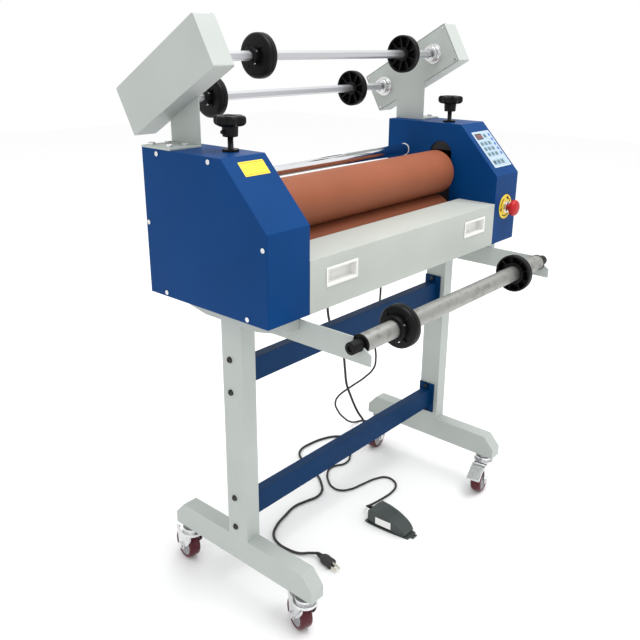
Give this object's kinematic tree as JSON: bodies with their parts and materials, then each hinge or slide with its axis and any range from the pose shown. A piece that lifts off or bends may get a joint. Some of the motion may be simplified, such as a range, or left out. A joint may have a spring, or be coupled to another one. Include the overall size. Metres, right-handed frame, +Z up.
{
  "type": "cold roll laminator",
  "caption": "Free-standing cold roll laminator with two silicone rollers, unwind shafts above, a take-up tube in front, a foot pedal and a castored stand.",
  "frame": {"origin": "on the floor, under the middle of the outline without the cords", "axes": "+X to the operator's right along the rollers, -Y towards the operator, +Z up"},
  "size_m": [0.9544, 0.6997, 1.2953],
  "materials": {
    "stand_paint": "light grey textured powder coat",
    "blue_paint": "satin blue powder coat",
    "blue_beam_paint": "satin blue powder coat",
    "table_paint": "pale grey smooth powder coat",
    "black_oxide": "black oxide",
    "bright_zinc": "bright plated",
    "polished_chrome": "polished",
    "machined_steel": "machined",
    "tube_aluminium": "scuffed mill finish",
    "silicone": "matte silicone",
    "wheel_tread": "glossy polyurethane",
    "black_plastic": "moulded satin",
    "white_plastic": "moulded",
    "panel_film": "membrane film",
    "stop_yellow": "moulded",
    "stop_red": "moulded",
    "pedal_casting": "hammered paint",
    "cord_sheath": "PVC sheath"
  },
  "bodies": {
    "stand": {"foot_beams": "stand_paint", "leg_frames": "stand_paint", "crossbeams": "blue_beam_paint", "stand_bolts": "black_oxide", "front_arms": "stand_paint", "caster_stems": "bright_zinc", "side_frames": "machined_steel", "housing_left": "blue_paint", "housing_right": "blue_paint", "side_covers": "blue_paint", "machine_screws": "bright_zinc", "base_pan": "stand_paint", "bottom_bearings": "bright_zinc", "knob_collars": "black_plastic", "gearmotor": "machined_steel", "guide_bushes": "white_plastic", "head_plates": "stand_paint", "head_covers": "stand_paint", "shaft_hubs": "bright_zinc", "control_panel": "panel_film", "estop_body": "stop_yellow", "pedal_base": "pedal_casting", "mains_cord": "cord_sheath", "pedal_cord": "cord_sheath", "cord_glands": "black_plastic", "plug": "cord_sheath"},
    "caster_fl": {"caster_fork_fl": "bright_zinc"},
    "wheel_fl": {"caster_wheel_fl": "wheel_tread"},
    "caster_fr": {"caster_fork_fr": "bright_zinc"},
    "wheel_fr": {"caster_wheel_fr": "wheel_tread"},
    "caster_rl": {"caster_fork_rl": "bright_zinc"},
    "wheel_rl": {"caster_wheel_rl": "wheel_tread"},
    "caster_rr": {"caster_fork_rr": "bright_zinc"},
    "wheel_rr": {"caster_wheel_rr": "wheel_tread"},
    "brake_fl": {"brake_lever_fl": "bright_zinc"},
    "brake_fr": {"brake_lever_fr": "bright_zinc"},
    "table": {"feed_table": "table_paint", "table_handles": "white_plastic"},
    "bottom_roller": {"bottom_roller_core": "machined_steel", "bottom_roller_sleeve": "silicone", "drive_gear": "machined_steel"},
    "pinion": {"motor_pinion": "machined_steel"},
    "nip_carriage": {"bearing_blocks": "machined_steel"},
    "top_roller": {"top_roller_core": "machined_steel", "top_roller_sleeve": "silicone"},
    "left_knob": {"knob_left": "black_plastic"},
    "right_knob": {"knob_right": "black_plastic"},
    "guide_roller": {"guide_bar": "polished_chrome"},
    "front_shaft": {"unwind_shaft_front": "machined_steel"},
    "rear_shaft": {"unwind_shaft_rear": "machined_steel"},
    "chuck_fl": {"unwind_chuck_fl": "black_plastic"},
    "chuck_fr": {"unwind_chuck_fr": "black_plastic"},
    "chuck_rl": {"unwind_chuck_rl": "black_plastic"},
    "chuck_rr": {"unwind_chuck_rr": "black_plastic"},
    "takeup_ends": {"tube_bosses": "black_plastic"},
    "takeup_roll": {"takeup_tube": "tube_aluminium"},
    "takeup_chuck_l": {"takeup_chuck_left": "black_plastic"},
    "takeup_chuck_r": {"takeup_chuck_right": "black_plastic"},
    "stop_button": {"estop_button": "stop_red"},
    "treadle": {"pedal_treadle": "pedal_casting"}
  },
  "joints": [
    {"name": "caster_swivel_fl", "type": "hinge", "parent": "stand", "child": "caster_fl", "pos_m": [-0.3915, -0.15919, 0.05], "axis": [0, 0, 1], "continuous": true},
    {"name": "wheel_spin_fl", "type": "hinge", "parent": "caster_fl", "child": "wheel_fl", "pos_m": [-0.38227, -0.13381, 0.0375], "axis": [-0.9397, 0.342, 0], "continuous": true},
    {"name": "brake_fl_press", "type": "hinge", "parent": "caster_fl", "child": "brake_fl", "pos_m": [-0.37782, -0.1216, 0.084], "axis": [-0.9397, 0.342, 0], "range_deg": [0, 30]},
    {"name": "caster_swivel_fr", "type": "hinge", "parent": "stand", "child": "caster_fr", "pos_m": [0.3915, -0.15919, 0.05], "axis": [0, 0, 1], "continuous": true},
    {"name": "wheel_spin_fr", "type": "hinge", "parent": "caster_fr", "child": "wheel_fr", "pos_m": [0.36491, -0.16387, 0.0375], "axis": [0.1736, -0.9848, 0], "continuous": true},
    {"name": "brake_fr_press", "type": "hinge", "parent": "caster_fr", "child": "brake_fr", "pos_m": [0.35211, -0.16613, 0.084], "axis": [0.1736, -0.9848, 0], "range_deg": [0, 12]},
    {"name": "caster_swivel_rl", "type": "hinge", "parent": "stand", "child": "caster_rl", "pos_m": [-0.3915, 0.22081, 0.05], "axis": [0, 0, 1], "continuous": true},
    {"name": "wheel_spin_rl", "type": "hinge", "parent": "caster_rl", "child": "wheel_rl", "pos_m": [-0.38681, 0.2474, 0.0375], "axis": [-0.9848, 0.1736, 0], "continuous": true},
    {"name": "caster_swivel_rr", "type": "hinge", "parent": "stand", "child": "caster_rr", "pos_m": [0.3915, 0.22081, 0.05], "axis": [0, 0, 1], "continuous": true},
    {"name": "wheel_spin_rr", "type": "hinge", "parent": "caster_rr", "child": "wheel_rr", "pos_m": [0.3647, 0.21752, 0.0375], "axis": [0.1219, -0.9925, 0], "continuous": true},
    {"name": "bottom_roller_spin", "type": "hinge", "parent": "stand", "child": "bottom_roller", "pos_m": [0, 0.03081, 0.804], "axis": [1, 0, 0], "continuous": true},
    {"name": "nip_lift", "type": "slide", "parent": "stand", "child": "nip_carriage", "axis": [0, 0, 1], "range_m": [0, 0.025]},
    {"name": "top_roller_spin", "type": "hinge", "parent": "nip_carriage", "child": "top_roller", "pos_m": [0, 0.03081, 0.919], "axis": [1, 0, 0], "continuous": true},
    {"name": "motor_pinion_spin", "type": "hinge", "parent": "stand", "child": "pinion", "pos_m": [0.384, 0.09611, 0.804], "axis": [1, 0, 0], "continuous": true},
    {"name": "left_knob_turn", "type": "hinge", "parent": "nip_carriage", "child": "left_knob", "pos_m": [-0.395, 0.03081, 1.046], "axis": [0, 0, 1], "range_deg": [0, 4500]},
    {"name": "right_knob_turn", "type": "hinge", "parent": "nip_carriage", "child": "right_knob", "pos_m": [0.395, 0.03081, 1.046], "axis": [0, 0, 1], "range_deg": [0, 4500]},
    {"name": "guide_bar_spin", "type": "hinge", "parent": "stand", "child": "guide_roller", "pos_m": [0, 0.14881, 0.966], "axis": [1, 0, 0], "continuous": true},
    {"name": "front_shaft_spin", "type": "hinge", "parent": "stand", "child": "front_shaft", "pos_m": [0, 0.09178, 1.21949], "axis": [1, 0, 0], "continuous": true},
    {"name": "rear_shaft_spin", "type": "hinge", "parent": "stand", "child": "rear_shaft", "pos_m": [0, 0.25002, 1.12959], "axis": [1, 0, 0], "continuous": true},
    {"name": "chuck_fl_slide", "type": "slide", "parent": "front_shaft", "child": "chuck_fl", "axis": [1, 0, 0], "range_m": [-0.085, 0.18]},
    {"name": "chuck_fr_slide", "type": "slide", "parent": "front_shaft", "child": "chuck_fr", "axis": [-1, 0, 0], "range_m": [-0.085, 0.18]},
    {"name": "chuck_rl_slide", "type": "slide", "parent": "rear_shaft", "child": "chuck_rl", "axis": [1, 0, 0], "range_m": [-0.085, 0.18]},
    {"name": "chuck_rr_slide", "type": "slide", "parent": "rear_shaft", "child": "chuck_rr", "axis": [-1, 0, 0], "range_m": [-0.085, 0.18]},
    {"name": "takeup_lift_out", "type": "slide", "parent": "stand", "child": "takeup_ends", "axis": [0, 0, 1], "range_m": [0, 0.08]},
    {"name": "takeup_spin", "type": "hinge", "parent": "takeup_ends", "child": "takeup_roll", "pos_m": [0, -0.27319, 0.719], "axis": [1, 0, 0], "continuous": true},
    {"name": "takeup_chuck_l_slide", "type": "slide", "parent": "takeup_roll", "child": "takeup_chuck_l", "axis": [1, 0, 0], "range_m": [-0.09, 0.2]},
    {"name": "takeup_chuck_r_slide", "type": "slide", "parent": "takeup_roll", "child": "takeup_chuck_r", "axis": [-1, 0, 0], "range_m": [-0.09, 0.2]},
    {"name": "table_lift_out", "type": "slide", "parent": "stand", "child": "table", "axis": [0, 0, 1], "range_m": [0, 0.15]},
    {"name": "stop_button_press", "type": "slide", "parent": "stand", "child": "stop_button", "axis": [0, 1, 0], "range_m": [0, 0.005], "stiffness_N_per_m": 800, "springref_m": -0.003},
    {"name": "treadle_press", "type": "hinge", "parent": "stand", "child": "treadle", "pos_m": [0.0475, -0.125, 0.009], "axis": [-1, 0, 0], "range_deg": [0, 4.5], "stiffness_Nm_per_rad": 5, "springref_deg": -8.59}
  ],
  "couplings": [
    {"joint": "top_roller_spin", "follows": "bottom_roller_spin", "ratio": -1},
    {"joint": "motor_pinion_spin", "follows": "bottom_roller_spin", "ratio": -3.3333},
    {"joint": "left_knob_turn", "follows": "nip_lift", "rad_per_m": 3141},
    {"joint": "right_knob_turn", "follows": "nip_lift", "rad_per_m": 3141}
  ]
}
